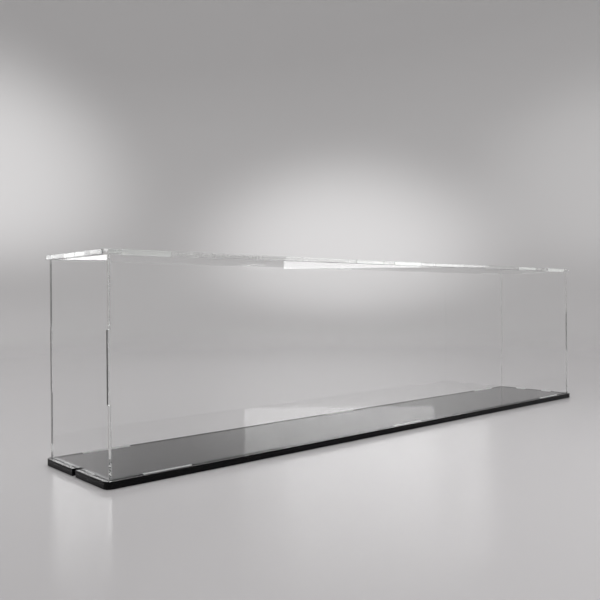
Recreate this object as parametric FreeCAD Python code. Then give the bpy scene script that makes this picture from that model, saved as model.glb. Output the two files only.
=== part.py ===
"""Slot-together display case for a long, narrow scale model.

Seven sheets of laser-cut acrylic: four clear walls with finger-jointed corners, a clear lid that
drops over tabs on the walls, and a gloss black base of two sheets, the upper one slotted for the
walls' lower tabs. Millimetres, +Z up, origin at the middle of the base's underside, +X along the
case's length, -Y towards the viewer.
"""
import os

import FreeCAD, Part

# ---- driving dimensions ----
WALL_LENGTH = 950.0      # over the outer faces of the two end walls
WALL_DEPTH = 145.0       # over the outer faces of the two long walls
WALL_HEIGHT = 232.0      # from the base's top face to the lid's underside
OVERHANG = 5.0           # of the base and the lid past the walls, on every side
CORNER_RADIUS = 8.0      # of the base's and the lid's outlines

WALL_SHEET = 3.0
LID_SHEET = 5.0
BASE_UPPER_SHEET = 3.0
BASE_LOWER_SHEET = 5.0

LONG_TAB = 60.0          # length of each tab on the long walls
LONG_TOP_INSET = 15.0    # from the end of the case to the first tab on top
LONG_FOOT_INSET = 40.0   # from the end of the case to the first tab below
END_TOP_TAB = 50.0       # the single tab on top of an end wall
END_FOOT_TAB = 20.0      # each of the two tabs below an end wall
END_FOOT_OFFSET = 27.5   # of those two tabs from the middle

JOINT_GAP = 0.1          # between the fingers, and all round a tab in its slot
SEAT_GAP = 0.05          # hairline under the walls and under the lid
EDGE_BREAK = 0.2         # bevel along the cut edges of the walls
RIM_BREAK = 0.3          # bevel round the outlines of the base and the lid

NOTCH_WIDTH = 8.0        # the cable notch in the base's left end
NOTCH_DEPTH = 14.0

# ---- levels and outlines worked out from them ----
BASE_TOP = BASE_LOWER_SHEET + BASE_UPPER_SHEET
LID_UNDER = BASE_TOP + WALL_HEIGHT
FOOT = BASE_TOP + SEAT_GAP
CROWN = LID_UNDER - SEAT_GAP
TAB_BOTTOM = BASE_LOWER_SHEET + SEAT_GAP
TAB_TOP = LID_UNDER + LID_SHEET - SEAT_GAP
FINGER_LOW = BASE_TOP + WALL_HEIGHT / 3
FINGER_HIGH = BASE_TOP + WALL_HEIGHT * 2 / 3

HALF_LENGTH = WALL_LENGTH / 2
HALF_DEPTH = WALL_DEPTH / 2
WALL_MIDDLE_X = HALF_LENGTH - WALL_SHEET / 2
WALL_MIDDLE_Y = HALF_DEPTH - WALL_SHEET / 2
PLATE_LENGTH = WALL_LENGTH + 2 * OVERHANG
PLATE_DEPTH = WALL_DEPTH + 2 * OVERHANG


def long_tabs(inset):
    """(middle, length) of the three tabs along a long wall, the outer two inset from the ends."""
    outer = HALF_LENGTH - inset - LONG_TAB / 2
    return [(-outer, LONG_TAB), (0.0, LONG_TAB), (outer, LONG_TAB)]


LONG_TOP_TABS = long_tabs(LONG_TOP_INSET)
LONG_FOOT_TABS = long_tabs(LONG_FOOT_INSET)
END_TOP_TABS = [(0.0, END_TOP_TAB)]
END_FOOT_TABS = [(-END_FOOT_OFFSET, END_FOOT_TAB), (END_FOOT_OFFSET, END_FOOT_TAB)]


def rectangle(half_width, low, high):
    """A rectangle in a wall's own plane: (left, right, bottom, top)."""
    return (-half_width, half_width, low, high)


def tab_rectangles(tabs, low, high):
    """The tabs as rectangles in the wall's own plane."""
    return [(middle - length / 2, middle + length / 2, low, high) for middle, length in tabs]


def long_wall_outline():
    """Long wall: short at the corners, with a finger at each end over the middle third."""
    body = rectangle(HALF_LENGTH - WALL_SHEET - JOINT_GAP, FOOT, CROWN)
    fingers = rectangle(HALF_LENGTH, FINGER_LOW + JOINT_GAP / 2, FINGER_HIGH - JOINT_GAP / 2)
    top = tab_rectangles(LONG_TOP_TABS, CROWN, TAB_TOP)
    foot = tab_rectangles(LONG_FOOT_TABS, TAB_BOTTOM, FOOT)
    return [body, fingers] + top + foot


def end_wall_outline():
    """End wall: narrow over the middle third, with fingers over the lower and upper thirds."""
    body = rectangle(HALF_DEPTH - WALL_SHEET - JOINT_GAP, FOOT, CROWN)
    lower = rectangle(HALF_DEPTH, FOOT, FINGER_LOW - JOINT_GAP / 2)
    upper = rectangle(HALF_DEPTH, FINGER_HIGH + JOINT_GAP / 2, CROWN)
    top = tab_rectangles(END_TOP_TABS, CROWN, TAB_TOP)
    foot = tab_rectangles(END_FOOT_TABS, TAB_BOTTOM, FOOT)
    return [body, lower, upper] + top + foot


def rim_edges(solid, face_levels, level_of):
    """The edges that lie wholly in one of the sheet's two broad faces."""
    found = []
    for edge in solid.Edges:
        levels = [level_of(vertex.Point) for vertex in edge.Vertexes]
        for face in face_levels:
            if all(abs(level - face) < 1e-6 for level in levels):
                found.append(edge)
    return found


def wall_sheet(rectangles):
    """A wall lying in the XZ plane, its thickness centred on y = 0, with its rim bevelled."""
    half = WALL_SHEET / 2
    pieces = [
        Part.makeBox(right - left, WALL_SHEET, high - low, FreeCAD.Vector(left, -half, low))
        for left, right, low, high in rectangles
    ]
    solid = pieces[0].multiFuse(pieces[1:]).removeSplitter()
    solid = solid.makeChamfer(EDGE_BREAK, rim_edges(solid, (-half, half), lambda p: p.y))
    return solid.Solids[0]


def long_wall(side):
    """The front wall for side -1, the back wall for side 1."""
    wall = wall_sheet(long_wall_outline())
    wall.translate(FreeCAD.Vector(0, side * WALL_MIDDLE_Y, 0))
    return wall


def end_wall(side):
    """The left wall for side -1, the right wall for side 1."""
    wall = wall_sheet(end_wall_outline())
    wall.rotate(FreeCAD.Vector(0, 0, 0), FreeCAD.Vector(0, 0, 1), 90)
    wall.translate(FreeCAD.Vector(side * WALL_MIDDLE_X, 0, 0))
    return wall


def rounded_outline(level):
    """The outline that the base's sheets and the lid share, as a closed wire at one level."""
    half_x = PLATE_LENGTH / 2
    half_y = PLATE_DEPTH / 2
    straight_x = half_x - CORNER_RADIUS
    straight_y = half_y - CORNER_RADIUS
    diagonal = CORNER_RADIUS * (1 - 0.5 ** 0.5)

    def point(x, y):
        return FreeCAD.Vector(x, y, level)

    def corner(sx, sy):
        ends = [point(sx * half_x, sy * straight_y), point(sx * straight_x, sy * half_y)]
        middle = point(sx * (half_x - diagonal), sy * (half_y - diagonal))
        return Part.Arc(ends[0], middle, ends[1]).toShape()

    edges = [corner(sx, sy) for sx in (-1, 1) for sy in (-1, 1)]
    for side in (-1, 1):
        along_x = (point(-straight_x, side * half_y), point(straight_x, side * half_y))
        along_y = (point(side * half_x, -straight_y), point(side * half_x, straight_y))
        edges.append(Part.LineSegment(*along_x).toShape())
        edges.append(Part.LineSegment(*along_y).toShape())
    return Part.Wire(Part.__sortEdges__(edges))


def plate(level, thickness):
    """A flat sheet with rounded corners and a bevelled rim, its underside at the given level."""
    solid = Part.Face(rounded_outline(level)).extrude(FreeCAD.Vector(0, 0, thickness))
    rims = rim_edges(solid, (level, level + thickness), lambda p: p.z)
    return solid.makeChamfer(RIM_BREAK, rims)


def slots(long_tabs_in, end_tabs_in, level, thickness):
    """Cutters for the slots that the walls' tabs go into, right through one sheet."""
    width = WALL_SHEET + 2 * JOINT_GAP
    cutters = []
    for side in (-1, 1):
        for middle, length in long_tabs_in:
            size = (length + 2 * JOINT_GAP, width)
            cutters.append((middle, side * WALL_MIDDLE_Y, size))
        for middle, length in end_tabs_in:
            size = (width, length + 2 * JOINT_GAP)
            cutters.append((side * WALL_MIDDLE_X, middle, size))
    return [
        Part.makeBox(size[0], size[1], thickness + 2,
                     FreeCAD.Vector(x - size[0] / 2, y - size[1] / 2, level - 1))
        for x, y, size in cutters
    ]


def cable_notch(level, thickness):
    """Cutter for the notch in the middle of the left end, with a round inner end."""
    radius = NOTCH_WIDTH / 2
    straight = NOTCH_DEPTH - radius
    edge_x = -PLATE_LENGTH / 2
    height = thickness + 2
    mouth = Part.makeBox(straight + 1, NOTCH_WIDTH, height,
                         FreeCAD.Vector(edge_x - 1, -radius, level - 1))
    end = Part.makeCylinder(radius, height, FreeCAD.Vector(edge_x + straight, 0, level - 1))
    return mouth.fuse(end)


def base_lower():
    """The base's solid lower sheet, which the case stands on."""
    sheet = plate(0, BASE_LOWER_SHEET)
    return sheet.cut(cable_notch(0, BASE_LOWER_SHEET))


def base_upper():
    """The base's slotted upper sheet, bonded to the lower one."""
    sheet = plate(BASE_LOWER_SHEET, BASE_UPPER_SHEET)
    cutters = slots(LONG_FOOT_TABS, END_FOOT_TABS, BASE_LOWER_SHEET, BASE_UPPER_SHEET)
    return sheet.cut(cutters + [cable_notch(BASE_LOWER_SHEET, BASE_UPPER_SHEET)])


def lid():
    """The clear top sheet, slotted for the walls' upper tabs."""
    return plate(LID_UNDER, LID_SHEET).cut(
        slots(LONG_TOP_TABS, END_TOP_TABS, LID_UNDER, LID_SHEET))


PARTS = {
    "base_lower_sheet": base_lower,
    "base_upper_sheet": base_upper,
    "front_wall": lambda: long_wall(-1),
    "back_wall": lambda: long_wall(1),
    "left_wall": lambda: end_wall(-1),
    "right_wall": lambda: end_wall(1),
    "lid": lid,
}


def main():
    """Makes every sheet, says how large it is, and writes it as a STEP file."""
    os.makedirs("parts", exist_ok=True)
    for name, make in PARTS.items():
        shape = make()
        solid = shape.Solids[0]
        box = solid.BoundBox
        print(f"{name}: {len(shape.Solids)} solid, {len(solid.Faces)} faces, valid {solid.isValid()}, "
              f"{solid.Volume / 1000:.2f} cm3, x {box.XMin:.2f} to {box.XMax:.2f}, "
              f"y {box.YMin:.2f} to {box.YMax:.2f}, z {box.ZMin:.2f} to {box.ZMax:.2f}")
        solid.exportStep(f"parts/{name}.step")


main()
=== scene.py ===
import math

import bpy
import numpy as np
from mathutils import Matrix, Vector
from mathutils.geometry import delaunay_2d_cdt
from bpy.props import FloatProperty, FloatVectorProperty, IntProperty, PointerProperty


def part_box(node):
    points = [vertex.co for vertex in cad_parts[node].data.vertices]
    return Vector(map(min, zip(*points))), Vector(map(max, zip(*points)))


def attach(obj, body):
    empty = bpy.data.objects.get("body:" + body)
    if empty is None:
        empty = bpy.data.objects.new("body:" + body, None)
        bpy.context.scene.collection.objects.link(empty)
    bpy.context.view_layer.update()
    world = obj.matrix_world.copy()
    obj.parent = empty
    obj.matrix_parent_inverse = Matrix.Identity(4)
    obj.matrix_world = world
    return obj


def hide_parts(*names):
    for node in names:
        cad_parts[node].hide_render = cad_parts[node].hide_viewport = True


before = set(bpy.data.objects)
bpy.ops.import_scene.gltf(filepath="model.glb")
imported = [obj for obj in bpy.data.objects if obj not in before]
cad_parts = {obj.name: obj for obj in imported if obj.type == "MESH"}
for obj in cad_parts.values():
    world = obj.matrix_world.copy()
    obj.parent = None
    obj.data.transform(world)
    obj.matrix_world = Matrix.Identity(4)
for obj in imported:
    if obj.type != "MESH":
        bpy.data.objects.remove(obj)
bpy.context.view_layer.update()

bl_info = {
    "name": "Acrylic Display Case",
    "version": (1, 0, 0),
    "blender": (4, 5, 0),
    "location": "3D View > Sidebar > Display Case",
    "description": "A slot-together clear acrylic display case on a gloss black base",
    "category": "Add Mesh",
}

MILLIMETRE = 0.001

# Between the fingers of two walls, and round a tab in its slot.
JOINT_GAP = 0.1 * MILLIMETRE
# Between a wall's shoulders and the sheets above and below it.
SEAT_GAP = 0.05 * MILLIMETRE
# Points of an outline nearer than this are one point.
SAME_POINT = 1e-7

# How far a tab's scuffs run on to the wall, where their white also paints the tab's glow as a
# bright dash, and how softly they end.
FROST_AND_GLOW_RISE = 0.6 * MILLIMETRE
FROST_AND_GLOW_FADE = 0.3 * MILLIMETRE
# How far up a wall's lower edge the painted shade runs, a dark colour standing in for the black
# base seen in the edge, and how softly it ends.
SHADE_RISE = 0.3 * MILLIMETRE
SHADE_FADE = 0.2 * MILLIMETRE

# Repeats per metre of the cutter's lines, across the sheet and along the cut.
LINES_ACROSS, LINES_ALONG = 60.0, 1100.0
# Heights of the slow waves in a cast sheet, and of the cutter's lines in each acrylic.
WAVE_HEIGHT = 0.06 * MILLIMETRE
CLEAR_LINE_HEIGHT = 0.003 * MILLIMETRE
BLACK_LINE_HEIGHT = 0.008 * MILLIMETRE

# The camera's place in metres, its yaw from +Y, pitch and roll in degrees, and its lens in mm.
CAMERA_PLACE = (-0.8092, -0.7401, 0.1932)
CAMERA_YAW, CAMERA_PITCH, CAMERA_ROLL = 41.843, -0.141, -0.4155
CAMERA_LENS, SENSOR_WIDTH = 42.39, 36

# Soft rectangular lamps: name, place, point they face, width, depth, watts, and whether they light
# the case's own pieces only.
SOFTBOXES = (
    ("overhead", (0.0, 0.6, 2.4), (0, 0.1, 0), 2.6, 1.8, 39, False),
    ("left_rear", (-1.3, 1.95, 0.60), (-0.6, 0.0, 0.22), 1.0, 0.5, 5.5, True),
    ("right_front", (1.43, -1.36, 0.665), (0.2, 0.0, 0.35), 0.86, 0.7, 8.0, True),
)
# Soft-edged spots of light on the floor and the sweep: name, place, point they face, cone in
# degrees, watts.
GLOWS = (
    ("backdrop_middle", (1.33, 1.36, 1.7), (2.22, 2.24, 0.42), 68, 64),
    ("backdrop_left", (0.2, 2.0, 2.0), (0.38, 3.2, 1.2), 68, 68),
    ("sweep_front", (0.6, -1.2, 2.2), (2.2, -3.0, 0.8), 100, 60),
    ("backdrop_right", (2.0, 0.3, 2.0), (3.2, 0.95, 1.0), 62, 26),
    ("floor_front", (0.1, -1.0, 1.6), (0.0, -0.82, 0.0), 62, 48),
)
GLOW_RADIUS = 0.2
ROOM_TINT, ROOM_LIGHT = (1, 0.985, 0.985, 1), 0.62

# Light crosses the clear sheets many times and runs along inside their edges, on long paths.
PATH_BOUNCES, CLEAR_BOUNCES = 40, 32


def extent(node, axis):
    """(lowest, highest) of a CAD node along one axis, in metres."""
    low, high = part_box(node)
    return low[axis], high[axis]


# ---- sizes and colours a user may change ----

class CaseSizes(bpy.types.PropertyGroup):
    """The sizes of the case's cut sheets that its box doesn't give."""

    plate_corner: FloatProperty(
        name="Plate corner", description="Corner radius of the lid and of the base's two sheets",
        default=8 * MILLIMETRE, min=0, unit="LENGTH", subtype="DISTANCE")
    cut_corner: FloatProperty(
        name="Cut corner", description="Radius left on each outer corner of a finger, tab or wall",
        default=0.3 * MILLIMETRE, min=0, unit="LENGTH", subtype="DISTANCE")
    inner_corner: FloatProperty(
        name="Inner corner", description="Radius the cutter leaves in each inner corner",
        default=0.08 * MILLIMETRE, min=0, unit="LENGTH", subtype="DISTANCE")
    wall_rim: FloatProperty(
        name="Wall rim", description="Rounding along the cut rims of the four walls",
        default=0.2 * MILLIMETRE, min=0, unit="LENGTH", subtype="DISTANCE")
    plate_rim: FloatProperty(
        name="Plate rim", description="Rounding along the outer rims of the lid and the base",
        default=0.3 * MILLIMETRE, min=0, unit="LENGTH", subtype="DISTANCE")
    slot_rim: FloatProperty(
        name="Slot rim", description="Rounding along the rims of the slots that take the tabs",
        default=0.12 * MILLIMETRE, min=0, unit="LENGTH", subtype="DISTANCE")
    long_tab: FloatProperty(
        name="Long wall tab", description="Length of each of the three tabs on a long wall's edge",
        default=60 * MILLIMETRE, min=0, unit="LENGTH", subtype="DISTANCE")
    long_top_inset: FloatProperty(
        name="Top tab inset",
        description="From the end of the walls to a long wall's first top tab",
        default=15 * MILLIMETRE, min=0, unit="LENGTH", subtype="DISTANCE")
    long_foot_inset: FloatProperty(
        name="Foot tab inset",
        description="From the end of the walls to a long wall's first foot tab",
        default=40 * MILLIMETRE, min=0, unit="LENGTH", subtype="DISTANCE")
    end_top_tab: FloatProperty(
        name="End wall top tab", description="Length of the single tab on top of an end wall",
        default=50 * MILLIMETRE, min=0, unit="LENGTH", subtype="DISTANCE")
    end_foot_tab: FloatProperty(
        name="End wall foot tab", description="Length of each of the two tabs below an end wall",
        default=20 * MILLIMETRE, min=0, unit="LENGTH", subtype="DISTANCE")
    end_foot_offset: FloatProperty(
        name="End foot tab offset", description="From the middle of an end wall to its foot tabs",
        default=27.5 * MILLIMETRE, min=0, unit="LENGTH", subtype="DISTANCE")
    notch_width: FloatProperty(
        name="Cable notch width", description="Width of the notch in the base's left end",
        default=8 * MILLIMETRE, min=0, unit="LENGTH", subtype="DISTANCE")
    notch_depth: FloatProperty(
        name="Cable notch depth", description="Depth of the notch in the base's left end",
        default=14 * MILLIMETRE, min=0, unit="LENGTH", subtype="DISTANCE")
    corner_steps: IntProperty(
        name="Corner steps", description="Straight pieces in each rounded corner of an outline",
        default=12, min=2, max=48)
    rim_steps: IntProperty(
        name="Rim steps", description="Straight pieces in the rounding along a rim",
        default=3, min=1, max=12)


class CaseFinishes(bpy.types.PropertyGroup):
    """The colours and gloss of the case's two acrylics, and the studio's."""

    clear_tint: FloatVectorProperty(
        name="Clear sheet", description="Tint of the clear acrylic",
        default=(0.991, 0.993, 0.992), size=3, min=0, max=1, subtype="COLOR")
    clear_edge: FloatVectorProperty(
        name="Clear cut edge", description="Colour the clear acrylic's cut edges scatter",
        default=(0.975, 0.985, 0.975), size=3, min=0, max=1, subtype="COLOR")
    # Frost and painted highlight: this near-white scuffs the tabs and also stands in for the tabs'
    # glow and the cut edges' glints.
    frost_and_painted_highlight: FloatVectorProperty(
        name="Tab frost", description="Colour the scuffed faces of the walls' tabs scatter",
        default=(0.96, 0.965, 0.96), size=3, min=0, max=1, subtype="COLOR")
    # Painted shade: a dark colour on the walls' lower edges stands in for the black base seen in
    # them.
    foot_shade: FloatVectorProperty(
        name="Foot shade", description="Colour of the walls' lower edges, which stand on black",
        default=(0.03, 0.03, 0.031), size=3, min=0, max=1, subtype="COLOR")
    black_face: FloatVectorProperty(
        name="Black sheet", description="Colour of the gloss black acrylic",
        default=(0.0075, 0.0075, 0.0085), size=3, min=0, max=1, subtype="COLOR")
    black_edge: FloatVectorProperty(
        name="Black cut edge", description="Colour of the gloss black acrylic's cut edges",
        default=(0.0035, 0.0035, 0.004), size=3, min=0, max=1, subtype="COLOR")
    acrylic_index: FloatProperty(
        name="Acrylic index", description="Index of refraction of cast acrylic",
        default=1.49, min=1, max=2)
    floor_tint: FloatVectorProperty(
        name="Floor", description="Colour of the pale studio floor",
        default=(0.44, 0.43, 0.435), size=3, min=0, max=1, subtype="COLOR")
    sweep_tint: FloatVectorProperty(
        name="Sweep", description="Colour of the studio floor where it sweeps up into a wall",
        default=(0.67, 0.665, 0.665), size=3, min=0, max=1, subtype="COLOR")


# ---- shader graph ----

class Level:
    """A number socket. Written in an expression, it adds the Math nodes that work it out."""

    def __init__(self, finish, socket):
        self.finish, self.socket = finish, socket

    def _math(self, operation, first, second=None):
        values = {0: first} if second is None else {0: first, 1: second}
        node = self.finish.node("ShaderNodeMath", {"operation": operation}, values)
        return Level(self.finish, node.outputs[0])

    def __add__(self, other):
        return self._math("ADD", self, other)

    def __radd__(self, other):
        return self._math("ADD", other, self)

    def __sub__(self, other):
        return self._math("SUBTRACT", self, other)

    def __rsub__(self, other):
        return self._math("SUBTRACT", other, self)

    def __mul__(self, other):
        return self._math("MULTIPLY", self, other)

    def __rmul__(self, other):
        return self._math("MULTIPLY", other, self)

    def __abs__(self):
        return self._math("ABSOLUTE", self)

    def above(self, low, high):
        """0 below low, 1 above high, and a straight rise between."""
        node = self.finish.node("ShaderNodeMapRange", {"clamp": True},
                                {"Value": self, "From Min": low, "From Max": high})
        return Level(self.finish, node.outputs["Result"])


class Finish:
    """One material and its nodes."""

    def __init__(self, name):
        self.material = bpy.data.materials.new(name)
        self.material.use_nodes = True
        self.tree = self.material.node_tree
        self.tree.nodes.clear()
        self.place = self.node("ShaderNodeTexCoord").outputs["Object"]

    def node(self, kind, settings=None, values=None):
        """Adds a node: its settings first, then its sockets' values or links."""
        made = self.tree.nodes.new(kind)
        for name, value in (settings or {}).items():
            setattr(made, name, value)
        for name, value in (values or {}).items():
            value = value.socket if isinstance(value, Level) else value
            if isinstance(value, bpy.types.NodeSocket):
                self.tree.links.new(value, made.inputs[name])
            else:
                made.inputs[name].default_value = value
        return made

    def stretched(self, scale):
        """Object coordinates, stretched along each axis."""
        return self.node("ShaderNodeMapping", {"vector_type": "POINT"},
                         {"Vector": self.place, "Scale": scale}).outputs[0]

    def along(self, axis):
        """How far along an axis of the object a point is."""
        made = self.node("ShaderNodeSeparateXYZ", None, {0: self.place})
        return Level(self, made.outputs[axis])

    def blended(self, factor, first, second):
        """A shader between two others."""
        made = self.node("ShaderNodeMixShader", None, {0: factor, 1: first, 2: second})
        return made.outputs[0]

    def noise(self, scale, detail, vector=None):
        """Smooth noise from 0 to 1, with its scale in repeats per metre."""
        made = self.node("ShaderNodeTexNoise", {"noise_dimensions": "3D"},
                         {"Vector": vector or self.place, "Scale": scale, "Detail": detail})
        return Level(self, made.outputs["Fac"])

    def cut_lines(self, across):
        """The cutter's fine lines on a cut edge, from 0 to 1. across is the sheet's own axis."""
        lined = self.stretched([LINES_ACROSS if axis == across else LINES_ALONG
                                for axis in range(3)])
        return self.noise(1.0, 1.0, vector=lined)

    def specks(self, scale, radius):
        """1 at the middle of scattered round specks and 0 between them."""
        made = self.node("ShaderNodeTexVoronoi", {"feature": "F1", "distance": "EUCLIDEAN"},
                         {"Vector": self.place, "Scale": scale})
        return 1 - Level(self, made.outputs["Distance"]).above(radius * 0.5, radius)

    def bump(self, height, distance):
        """The normal that a height from 0 to 1, this many metres tall, gives the surface."""
        made = self.node("ShaderNodeBump", None, {"Height": height, "Distance": distance,
                                                  "Strength": 1.0})
        return made.outputs[0]

    def mixed(self, factor, first, second):
        """A colour between two others."""
        made = self.node("ShaderNodeMix", {"data_type": "RGBA", "blend_type": "MIX"},
                         {0: factor, 6: first, 7: second})
        return made.outputs[2]

    def plastic(self, **sockets):
        """A Principled shader, its sockets given by name with underscores for spaces."""
        values = {name.replace("_", " "): value for name, value in sockets.items()}
        return self.node("ShaderNodeBsdfPrincipled", None, values).outputs[0]

    def lit_through(self, shader, tint):
        """Swaps the shader for a plain tint where lamps' rays pass, so that light comes through."""
        lamps = self.node("ShaderNodeLightPath").outputs["Is Shadow Ray"]
        clear = self.node("ShaderNodeBsdfTransparent", None, {"Color": (*tint, 1)}).outputs[0]
        return self.blended(lamps, shader, clear)

    def shown(self, shader):
        """Puts the shader out, and returns the material."""
        self.node("ShaderNodeOutputMaterial", None, {"Surface": shader})
        return self.material


def tab_mask(finish, axis, tabs, low, high):
    """1 on a wall's tabs and FROST_AND_GLOW_RISE past its shoulders, at low and high, and 0 elsewhere. tabs
    are its foot tabs and its top tabs, each as (middle, length), alike on both sides of 0."""
    height, along = finish.along(2), finish.along(axis)
    foot_end, crown_end = low + FROST_AND_GLOW_RISE, high - FROST_AND_GLOW_RISE
    reaches = (1 - height.above(foot_end, foot_end + FROST_AND_GLOW_FADE),
               height.above(crown_end, crown_end + FROST_AND_GLOW_FADE))
    frost_and_glow = 0
    for reach, kind in zip(reaches, tabs):
        over = sum(1 - abs(abs(along) - middle).above(length / 2, length / 2 + FROST_AND_GLOW_FADE)
                   for middle, length in kind if middle >= 0)
        frost_and_glow = reach * over + frost_and_glow
    return frost_and_glow


def clear_face(finishes, wall_tabs=None):
    """Polished face of cast acrylic: glass-clear, faintly wavy, with a trace of polish haze. A
    wall's tabs are scuffed white from their fit in the slots, a white that also paints their glow:
    wall_tabs is what tab_mask takes."""
    finish = Finish("clear_acrylic_face" + ("_" + "xyz"[wall_tabs[0]] if wall_tabs else ""))
    haze = finish.noise(9.0, 3.0) * finish.noise(140.0, 2.0)
    waves = finish.noise(7.0, 1.0)
    shader = finish.plastic(
        Base_Color=(*finishes.clear_tint, 1), IOR=finishes.acrylic_index, Transmission_Weight=1.0,
        Roughness=haze.above(0.2, 0.75) * 0.03, Normal=finish.bump(waves, WAVE_HEIGHT))
    if wall_tabs is not None:
        # Real scuffs and painted highlight: the white frost on the tabs also stands in for their
        # glow.
        frost_with_painted_highlight = finish.plastic(Base_Color=(*finishes.frost_and_painted_highlight, 1), Roughness=0.45,
                               IOR=finishes.acrylic_index)
        scuffs_and_painted_glow = 0.7 + 0.3 * finish.noise(700.0, 2.0)
        shader = finish.blended(tab_mask(finish, *wall_tabs) * scuffs_and_painted_glow, shader, frost_with_painted_highlight)
    return finish.shown(finish.lit_through(shader, finishes.clear_tint))


def clear_edge(finishes, across, foot=None):
    """Laser-cut edge of clear acrylic: bright, finely lined across the sheet, with patches of white
    kerf marks whose white also paints glints. At the foot, where a wall stands on the base, a dark
    colour paints the shade of the black below."""
    finish = Finish("clear_acrylic_edge_" + "xyz"[across])
    lines = finish.cut_lines(across)
    cloud = finish.noise(22.0, 2.0)
    shader = finish.plastic(
        Base_Color=(*finishes.clear_edge, 1), IOR=finishes.acrylic_index, Transmission_Weight=0.93,
        Roughness=0.005 + 0.02 * cloud.above(0.3, 0.7),
        Normal=finish.bump(lines, CLEAR_LINE_HEIGHT))
    # Real kerf marks and painted glints: white frosted stripes along the cut also stand in for
    # sparkles on the edge.
    kerf_and_painted_glints = lines.above(0.56, 0.64) * finish.noise(16.0, 1.0).above(0.56, 0.66)
    frost_with_painted_highlight = finish.plastic(Base_Color=(*finishes.frost_and_painted_highlight, 1), Roughness=0.4,
                           IOR=finishes.acrylic_index)
    shader = finish.blended(kerf_and_painted_glints * 0.55, shader, frost_with_painted_highlight)
    # Painted shade: a dark band at the foot stands in for the black base seen in the wall's lower
    # edge.
    if foot is not None:
        height = finish.along(2)
        top = foot + SHADE_RISE
        under = foot - SHADE_FADE / 2
        painted_shade_band = (1 - height.above(top, top + SHADE_FADE)) * height.above(under, foot)
        shaded = finish.plastic(Base_Color=(*finishes.foot_shade, 1), Roughness=0.6,
                                IOR=finishes.acrylic_index, Specular_IOR_Level=0.0)
        shader = finish.blended(painted_shade_band * 0.95, shader, shaded)
    return finish.shown(finish.lit_through(shader, [0.75 * c for c in finishes.clear_edge]))


def black_face(finishes):
    """Polished face of gloss black acrylic: deep, faintly wavy, with fine dust and wipe haze."""
    finish = Finish("black_acrylic_face")
    haze = finish.noise(1.0, 3.0, vector=finish.stretched((9.0, 26.0, 9.0)))
    dust = finish.specks(420.0, 0.11) * finish.noise(31.0, 2.0).above(0.5, 0.62)
    dust_tint = (0.09, 0.09, 0.092, 1)
    waves = finish.noise(6.0, 1.0)
    shader = finish.plastic(
        Base_Color=finish.mixed(dust, (*finishes.black_face, 1), dust_tint),
        IOR=finishes.acrylic_index,
        Roughness=0.025 + 0.05 * haze.above(0.35, 0.8) + 0.3 * dust,
        Normal=finish.bump(waves, WAVE_HEIGHT))
    return finish.shown(shader)


def black_edge(finishes):
    """Laser-cut edge of black acrylic: satin, finely lined across the sheet."""
    finish = Finish("black_acrylic_edge")
    lines = finish.cut_lines(2)
    cloud = finish.noise(18.0, 3.0)
    shader = finish.plastic(
        Base_Color=(*finishes.black_edge, 1), IOR=finishes.acrylic_index, Specular_IOR_Level=0.11,
        Roughness=0.04 + 0.05 * cloud.above(0.3, 0.7),
        Normal=finish.bump(lines, BLACK_LINE_HEIGHT))
    return finish.shown(shader)


# ---- cut sheets ----

def rounded_loop(corners, radii, steps):
    """A closed right-angled outline with its corners rounded. Each corner is a quarter circle about
    the point one radius back along the side before it and one radius on along the side after it.
    Gives the points and their outward normals, which turn evenly from one side's to the next's."""
    corners = np.asarray(corners, float)
    radii = np.broadcast_to(np.asarray(radii, float), len(corners))[:, None]
    arriving = corners - np.roll(corners, 1, axis=0)
    arriving /= np.linalg.norm(arriving, axis=1, keepdims=True)
    leaving = np.roll(arriving, -1, axis=0)
    turn = np.sign(arriving[:, 0] * leaving[:, 1] - arriving[:, 1] * leaving[:, 0])[:, None, None]
    before, after = (np.stack([side[:, 1], -side[:, 0]], axis=1) for side in (arriving, leaving))
    angle = np.linspace(0, np.pi / 2, steps + 1)[None, :, None]
    normals = np.cos(angle) * before[:, None] + np.sin(angle) * after[:, None]
    centres = corners + radii * (leaving - arriving)
    points = (centres[:, None] + turn * radii[:, :, None] * normals).reshape(-1, 2)
    apart = np.linalg.norm(points - np.roll(points, 1, axis=0), axis=1) > SAME_POINT
    return points[apart], normals.reshape(-1, 2)[apart]


def rim_profile(rim, thickness, steps):
    """The section of a cut edge, as (inset, height, tilt) rows: a quarter circle up from the lower
    face, the straight cut, and a quarter circle in to the upper face."""
    rise = np.linspace(-np.pi / 2, 0, steps + 1)
    lower = np.stack([rim * (1 - np.cos(rise)), rim * (1 + np.sin(rise)), rise], axis=1)
    upper = lower[::-1] * (1, -1, -1) + (0, thickness, 0)
    return np.concatenate([lower, upper])


def swept_edge(points, normals, profile):
    """The profile carried round an outline: each point is moved in along its normal by the inset
    and up by the height, and the surface normal leans from the outline's by the tilt."""
    inset, height, tilt = profile.T[:, :, None]
    flat = points[None] - inset[..., None] * normals[None]
    places = np.concatenate([flat, np.broadcast_to(height, flat.shape[:2])[..., None]], axis=2)
    level = np.cos(tilt)[..., None] * normals[None]
    rise = np.broadcast_to(np.sin(tilt), flat.shape[:2])[..., None]
    leans = np.concatenate([level, rise], axis=2)
    rows, count = flat.shape[:2]
    index = np.arange(rows * count).reshape(rows, count)
    here, there = index[:-1], np.roll(index, -1, axis=1)[:-1]
    quads = np.stack([here, there, np.roll(index, -1, axis=1)[1:], index[1:]], axis=-1)
    return places.reshape(-1, 3), leans.reshape(-1, 3), quads.reshape(-1, 4)


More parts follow.
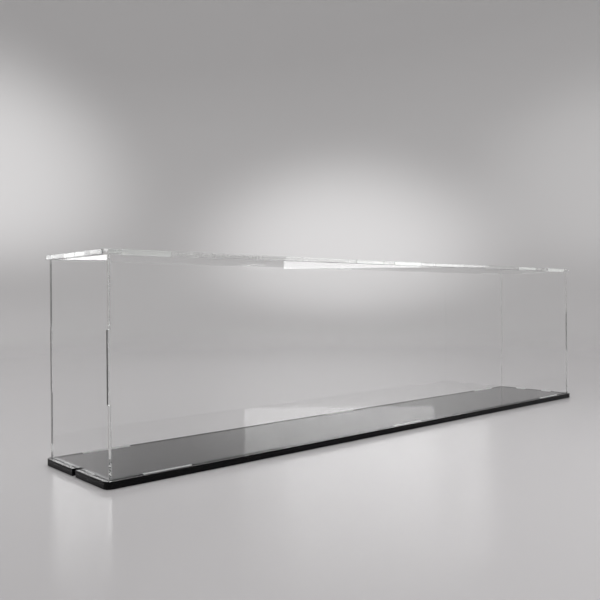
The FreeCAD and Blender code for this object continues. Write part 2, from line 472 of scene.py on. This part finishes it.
def cap_triangles(loops, places):
    """The flat face between an outline and its slots, as Delaunay triangles that face along +Z."""
    order = np.concatenate(loops)
    ends = np.cumsum([len(loop) for loop in loops])
    rings = [np.arange(end - len(loop), end).tolist() for end, loop in zip(ends, loops)]
    inside_less_holes = 2
    made = delaunay_2d_cdt(places[order, :2].tolist(), [], rings, inside_less_holes,
                           SAME_POINT / 10)
    triangles, first_points = np.array(made[2]), np.concatenate(made[3])
    corners = order[first_points[triangles]]
    a, b, c = (places[corners[:, i], :2] for i in range(3))
    area = (b[:, 0] - a[:, 0]) * (c[:, 1] - a[:, 1]) - (b[:, 1] - a[:, 1]) * (c[:, 0] - a[:, 0])
    return np.where(area[:, None] < 0, corners[:, ::-1], corners)


def case_pieces():
    """The collection of the case's own pieces."""
    return bpy.data.collections.get("case_pieces") or bpy.data.collections.new("case_pieces")


def cut_sheet(name, outlines, thickness, placing, materials, steps):
    """A flat sheet cut to its outlines, the first round the outside and the rest round its slots.
    Each outline is (points, normals, rim). placing turns the sheet's own axes, along, up and
    through, into the frame's. Faces take the first material and cut edges the second."""
    places, leans, quads, lower, upper, begun = [], [], [], [], [], 0
    for points, normals, rim in outlines:
        profile = rim_profile(rim, thickness, steps)
        ring_places, ring_leans, ring_quads = swept_edge(points, normals, profile)
        places.append(ring_places)
        leans.append(ring_leans)
        quads.append(ring_quads + begun)
        lower.append(begun + np.arange(len(points)))
        upper.append(begun + len(ring_places) - len(points) + np.arange(len(points)))
        begun += len(ring_places)
    places, leans, quads = map(np.concatenate, (places, leans, quads))
    top = cap_triangles(upper, places)
    bottom = cap_triangles(lower, places)[:, ::-1]
    turn = np.array(placing.to_3x3())
    mesh = bpy.data.meshes.new(name)
    mesh.from_pydata((places @ turn.T + np.array(placing.translation)).tolist(), [],
                     quads.tolist() + top.tolist() + bottom.tolist())
    mesh.materials.append(materials[0])
    mesh.materials.append(materials[1])
    is_edge = np.zeros(len(mesh.polygons), np.int32)
    is_edge[:len(quads)] = 1
    mesh.polygons.foreach_set("material_index", is_edge)
    mesh.polygons.foreach_set("use_smooth", np.ones(len(mesh.polygons), bool))
    mesh.normals_split_custom_set_from_vertices((leans @ turn.T).tolist())
    mesh.validate()
    piece = bpy.data.objects.new(name, mesh)
    bpy.context.scene.collection.objects.link(piece)
    case_pieces().objects.link(piece)
    return piece


def notched_run(way, base, peak, tabs):
    """Corners along a wall's lower edge, way 1, or back along its upper edge, way -1, that step
    from base out to peak over each tab. Each tab is (middle, length), in the order they are met."""
    return [corner for middle, length in tabs for corner in (
        (middle - way * length / 2, base), (middle - way * length / 2, peak),
        (middle + way * length / 2, peak), (middle + way * length / 2, base))]


def corner_radii(corners, outer, inner):
    """The radius of each corner: outer where the outline turns left, inner where it turns right."""
    corners = np.asarray(corners, float)
    arriving = corners - np.roll(corners, 1, axis=0)
    leaving = np.roll(arriving, -1, axis=0)
    turn = arriving[:, 0] * leaving[:, 1] - arriving[:, 1] * leaving[:, 0]
    return np.where(turn > 0, outer, inner)


def wall_corners(levels, widths, foot_tabs, top_tabs):
    """The outline of a wall, anticlockwise from its lower left: levels are its tabs' undersides,
    its shoulders and its fingers' ends from the bottom up, and widths the half widths of its lower,
    middle and upper thirds."""
    tab_foot, foot, finger_low, finger_high, crown, tab_crown = levels
    lower, middle, upper = widths
    right = [(lower, foot), (lower, finger_low), (middle, finger_low), (middle, finger_high),
             (upper, finger_high), (upper, crown)]
    left = [(-x, z) for x, z in reversed(right)]
    return (notched_run(1, foot, tab_foot, foot_tabs) + right
            + notched_run(-1, crown, tab_crown, top_tabs[::-1]) + left)


def wall_levels(node, drawn_in):
    """The heights that a wall's outline steps at: its middle third begins and ends a third of the
    way up and down between the base and the lid, and is drawn in by this much at both ends."""
    tab_foot, tab_crown = extent(node, 2)
    base_top, lid_under = extent("base_upper_sheet", 2)[1], extent("lid", 2)[0]
    third = (lid_under - base_top) / 3
    return (tab_foot, base_top + SEAT_GAP, base_top + third + drawn_in,
            lid_under - third - drawn_in, lid_under - SEAT_GAP, tab_crown)


def long_tabs(half, inset, length):
    """(middle, length) of the three tabs on a long wall, the outer two inset from its ends."""
    outer = half - inset - length / 2
    return [(-outer, length), (0.0, length), (outer, length)]


def end_foot_tabs(sizes):
    """(middle, length) of the two tabs below an end wall."""
    return [(side * sizes.end_foot_offset, sizes.end_foot_tab) for side in (-1, 1)]


def wall(node, along, through, corners, materials):
    """One clear wall, standing in the CAD node's box."""
    sizes = bpy.context.scene.case_sizes
    low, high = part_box(node)
    axis = int(np.argmax(np.abs(through)))
    thickness = high[axis] - low[axis]
    placing = Matrix((along, (0, 0, 1), through)).transposed().to_4x4()
    start = [0.0, 0.0, 0.0]
    start[axis] = low[axis] if through[axis] > 0 else high[axis]
    placing.translation = start
    radii = corner_radii(corners, sizes.cut_corner, sizes.inner_corner)
    points, normals = rounded_loop(corners, radii, sizes.corner_steps)
    piece = cut_sheet(node + "_clear", [(points, normals, sizes.wall_rim)], thickness, placing,
                      materials, sizes.rim_steps)
    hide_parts(node)
    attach(piece, "cover")
    return piece


def plate(node, corners, radii, slots, materials, body):
    """A lid or base sheet lying in the CAD node's box, with its slots cut through."""
    sizes = bpy.context.scene.case_sizes
    low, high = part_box(node)
    outlines = [(*rounded_loop(corners, radii, sizes.corner_steps), sizes.plate_rim)]
    for middle_x, middle_y, width, depth in slots:
        x, y = width / 2, depth / 2
        hole = [(middle_x - x, middle_y - y), (middle_x - x, middle_y + y),
                (middle_x + x, middle_y + y), (middle_x + x, middle_y - y)]
        outlines.append((*rounded_loop(hole, sizes.cut_corner, sizes.corner_steps), sizes.slot_rim))
    piece = cut_sheet(node + "_polished", outlines, high.z - low.z,
                      Matrix.Translation((0, 0, low.z)), materials, sizes.rim_steps)
    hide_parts(node)
    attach(piece, body)
    return piece


def wall_slots(long_wall_tabs, end_wall_tabs):
    """(middle x, middle y, width, depth) of the slots that take the walls' tabs."""
    found = []
    for node in ("front_wall", "back_wall"):
        low, high = extent(node, 1)
        found += [(middle, (low + high) / 2, length + 2 * JOINT_GAP, high - low + 2 * JOINT_GAP)
                  for middle, length in long_wall_tabs]
    for node in ("left_wall", "right_wall"):
        low, high = extent(node, 0)
        found += [((low + high) / 2, middle, high - low + 2 * JOINT_GAP, length + 2 * JOINT_GAP)
                  for middle, length in end_wall_tabs]
    return found


def plate_corners(node, notch=None):
    """The outline of a plate, anticlockwise, with its notch in the left end if it has one."""
    low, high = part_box(node)
    corners = [(low.x, low.y), (high.x, low.y), (high.x, high.y), (low.x, high.y)]
    if notch is not None:
        width, depth = notch
        corners += [(low.x, width / 2), (low.x + depth, width / 2),
                    (low.x + depth, -width / 2), (low.x, -width / 2)]
    return corners


# ---- operators ----

class CASE_OT_base(bpy.types.Operator):
    """Make the base's lower sheet and its slotted upper sheet, in gloss black acrylic"""

    bl_idname = "case.base"
    bl_label = "Base"

    def execute(self, context):
        sizes, finishes = context.scene.case_sizes, context.scene.case_finishes
        materials = (black_face(finishes), black_edge(finishes))
        # The notch's mouth has corners wider than the rim's rounding, which would close them.
        mouth, end = 2 * sizes.cut_corner, sizes.notch_width / 2
        radii = [sizes.plate_corner] * 4 + [mouth, end, end, mouth]
        half = extent("front_wall", 0)[1]
        tabs = wall_slots(long_tabs(half, sizes.long_foot_inset, sizes.long_tab),
                          end_foot_tabs(sizes))
        for node, slots in (("base_lower_sheet", []), ("base_upper_sheet", tabs)):
            corners = plate_corners(node, (sizes.notch_width, sizes.notch_depth))
            plate(node, corners, radii, slots, materials, "base")
        return {"FINISHED"}


class CASE_OT_long_walls(bpy.types.Operator):
    """Make the clear front and back walls, which finger into the end walls at mid height"""

    bl_idname = "case.long_walls"
    bl_label = "Long walls"

    def execute(self, context):
        sizes, finishes = context.scene.case_sizes, context.scene.case_finishes
        foot, crown = extent("base_upper_sheet", 2)[1], extent("lid", 2)[0]
        half = extent("front_wall", 0)[1]
        narrow = half - (extent("left_wall", 0)[1] - extent("left_wall", 0)[0]) - JOINT_GAP
        foot_tabs = long_tabs(half, sizes.long_foot_inset, sizes.long_tab)
        top_tabs = long_tabs(half, sizes.long_top_inset, sizes.long_tab)
        materials = (clear_face(finishes, (0, (foot_tabs, top_tabs), foot, crown)),
                     clear_edge(finishes, 1, foot))
        for node in ("front_wall", "back_wall"):
            corners = wall_corners(wall_levels(node, JOINT_GAP / 2), (narrow, half, narrow),
                                   foot_tabs, top_tabs)
            wall(node, (1, 0, 0), (0, -1, 0), corners, materials)
        return {"FINISHED"}


class CASE_OT_end_walls(bpy.types.Operator):
    """Make the clear end walls, which finger over the long walls above and below mid height"""

    bl_idname = "case.end_walls"
    bl_label = "End walls"

    def execute(self, context):
        sizes, finishes = context.scene.case_sizes, context.scene.case_finishes
        foot, crown = extent("base_upper_sheet", 2)[1], extent("lid", 2)[0]
        half = extent("left_wall", 1)[1]
        narrow = half - (extent("back_wall", 1)[1] - extent("back_wall", 1)[0]) - JOINT_GAP
        foot_tabs, top_tabs = end_foot_tabs(sizes), [(0.0, sizes.end_top_tab)]
        materials = (clear_face(finishes, (1, (foot_tabs, top_tabs), foot, crown)),
                     clear_edge(finishes, 0, foot))
        for node in ("left_wall", "right_wall"):
            corners = wall_corners(wall_levels(node, -JOINT_GAP / 2), (half, narrow, half),
                                   foot_tabs, top_tabs)
            wall(node, (0, 1, 0), (1, 0, 0), corners, materials)
        return {"FINISHED"}


class CASE_OT_lid(bpy.types.Operator):
    """Make the clear lid, slotted for the tabs on top of the walls"""

    bl_idname = "case.lid"
    bl_label = "Lid"

    def execute(self, context):
        sizes, finishes = context.scene.case_sizes, context.scene.case_finishes
        materials = (clear_face(finishes), clear_edge(finishes, 2))
        half = extent("front_wall", 0)[1]
        slots = wall_slots(long_tabs(half, sizes.long_top_inset, sizes.long_tab),
                           [(0.0, sizes.end_top_tab)])
        plate("lid", plate_corners("lid"), sizes.plate_corner, slots, materials, "lid")
        return {"FINISHED"}


def studio_floor(finishes):
    """A pale floor that sweeps up into a wall all round: a line from the middle out to the bend,
    a quarter circle up, and a line on up, turned about the vertical axis."""
    hub, reach, bend, height, across, around = 0.02, 1.7, 2.3, 3.2, 24, 96
    turn = np.linspace(0, np.pi / 2, across)
    radius = np.concatenate([np.linspace(hub, reach, across), reach + bend * np.sin(turn)[1:],
                             np.full(2, reach + bend)])
    rise = np.concatenate([np.zeros(across), bend * (1 - np.cos(turn))[1:],
                           np.array([(bend + height) / 2, height])])
    angle = np.linspace(0, 2 * np.pi, around, endpoint=False)
    grid = np.stack([radius[:, None] * np.cos(angle), radius[:, None] * np.sin(angle),
                     np.broadcast_to(rise[:, None], (len(rise), around))], axis=-1)
    index = np.arange(len(radius) * around).reshape(len(radius), around)
    onward = np.roll(index, -1, axis=1)
    quads = np.stack([index[:-1], index[1:], onward[1:], onward[:-1]], axis=-1).reshape(-1, 4)
    mesh = bpy.data.meshes.new("studio_floor")
    mesh.from_pydata(grid.reshape(-1, 3).tolist(), [], quads.tolist() + [index[0].tolist()])
    mesh.polygons.foreach_set("use_smooth", np.ones(len(mesh.polygons), bool))
    finish = Finish("studio_floor")
    reached = Level(finish, finish.node("ShaderNodeVectorMath", {"operation": "LENGTH"},
                                        {0: finish.place}).outputs["Value"])
    cloud = finish.noise(1.4, 2.0)
    shader = finish.plastic(
        Base_Color=finish.mixed(reached.above(reach * 0.8, reach + bend), (*finishes.floor_tint, 1),
                                (*finishes.sweep_tint, 1)),
        Roughness=0.17 + 0.04 * cloud, IOR=1.45, Specular_IOR_Level=0.22)
    mesh.materials.append(finish.shown(shader))
    floor = bpy.data.objects.new("studio_floor", mesh)
    bpy.context.scene.collection.objects.link(floor)


def hung(lamp, place, towards):
    """Puts a lamp at a place, turned towards a point."""
    light = bpy.data.objects.new(lamp.name, lamp)
    light.location = place
    light.rotation_mode = "QUATERNION"
    light.rotation_quaternion = (Vector(towards) - Vector(place)).to_track_quat("-Z", "Y")
    bpy.context.scene.collection.objects.link(light)
    return light


def softbox(name, place, towards, width, depth, power, case_only):
    """A soft rectangular lamp. One for the case only doesn't light the floor itself."""
    lamp = bpy.data.lights.new(name, "AREA")
    lamp.shape, lamp.size, lamp.size_y, lamp.energy = "RECTANGLE", width, depth, power
    light = hung(lamp, place, towards)
    if case_only:
        light.light_linking.receiver_collection = case_pieces()


def glow(name, place, towards, cone, power):
    """A soft-edged spot of light."""
    lamp = bpy.data.lights.new(name, "SPOT")
    lamp.energy, lamp.spot_size, lamp.spot_blend = power, math.radians(cone), 1.0
    lamp.shadow_soft_size = GLOW_RADIUS
    hung(lamp, place, towards)


def case_camera():
    """The camera, a little above the base's level, looking along the case from its left end."""
    yaw, pitch, roll = map(math.radians, (CAMERA_YAW, CAMERA_PITCH, CAMERA_ROLL))
    forward = Vector((math.sin(yaw) * math.cos(pitch), math.cos(yaw) * math.cos(pitch),
                      math.sin(pitch)))
    right = Vector((math.cos(yaw), -math.sin(yaw), 0))
    up = right.cross(forward)
    rolled_right = right * math.cos(roll) + up * math.sin(roll)
    rolled_up = up * math.cos(roll) - right * math.sin(roll)
    lens = bpy.data.cameras.new("case_camera")
    lens.lens, lens.sensor_width, lens.clip_start = CAMERA_LENS, SENSOR_WIDTH, 10 * MILLIMETRE
    camera = bpy.data.objects.new("case_camera", lens)
    camera.matrix_world = Matrix.Translation(CAMERA_PLACE) @ Matrix(
        (rolled_right, rolled_up, -forward)).transposed().to_4x4()
    bpy.context.scene.collection.objects.link(camera)
    bpy.context.scene.camera = camera


class CASE_OT_stage(bpy.types.Operator):
    """Make the camera, the pale floor and the soft studio lights"""

    bl_idname = "case.stage"
    bl_label = "Stage"

    def execute(self, context):
        case_camera()
        studio_floor(context.scene.case_finishes)
        for lamp in SOFTBOXES:
            softbox(*lamp)
        for lamp in GLOWS:
            glow(*lamp)
        world = bpy.data.worlds.new("studio")
        world.use_nodes = True
        room = world.node_tree.nodes["Background"].inputs
        room["Color"].default_value, room["Strength"].default_value = ROOM_TINT, ROOM_LIGHT
        context.scene.world = world
        context.scene.view_settings.view_transform = "Standard"
        paths = context.scene.cycles
        paths.max_bounces = paths.glossy_bounces = paths.transmission_bounces = PATH_BOUNCES
        paths.transparent_max_bounces = CLEAR_BOUNCES
        return {"FINISHED"}


class CASE_PT_sidebar(bpy.types.Panel):
    """The case's sizes, finishes and pieces"""

    bl_idname = "CASE_PT_sidebar"
    bl_label = "Display Case"
    bl_space_type = "VIEW_3D"
    bl_region_type = "UI"
    bl_category = "Display Case"

    def draw(self, context):
        for group in (context.scene.case_sizes, context.scene.case_finishes):
            box = self.layout.box()
            for name in group.__annotations__:
                box.prop(group, name)
        for operator in MAKERS:
            self.layout.operator(operator.bl_idname)


MAKERS = (CASE_OT_stage, CASE_OT_base, CASE_OT_long_walls, CASE_OT_end_walls, CASE_OT_lid)
CLASSES = (CaseSizes, CaseFinishes, *MAKERS, CASE_PT_sidebar)


def register():
    for cls in CLASSES:
        bpy.utils.register_class(cls)
    bpy.types.Scene.case_sizes = PointerProperty(type=CaseSizes)
    bpy.types.Scene.case_finishes = PointerProperty(type=CaseFinishes)


def unregister():
    del bpy.types.Scene.case_finishes
    del bpy.types.Scene.case_sizes
    for cls in reversed(CLASSES):
        bpy.utils.unregister_class(cls)


def main():
    """Registers the add-on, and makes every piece."""
    register()
    bpy.ops.case.stage()
    bpy.ops.case.base()
    bpy.ops.case.long_walls()
    bpy.ops.case.end_walls()
    bpy.ops.case.lid()


if __name__ == "__main__":
    main()
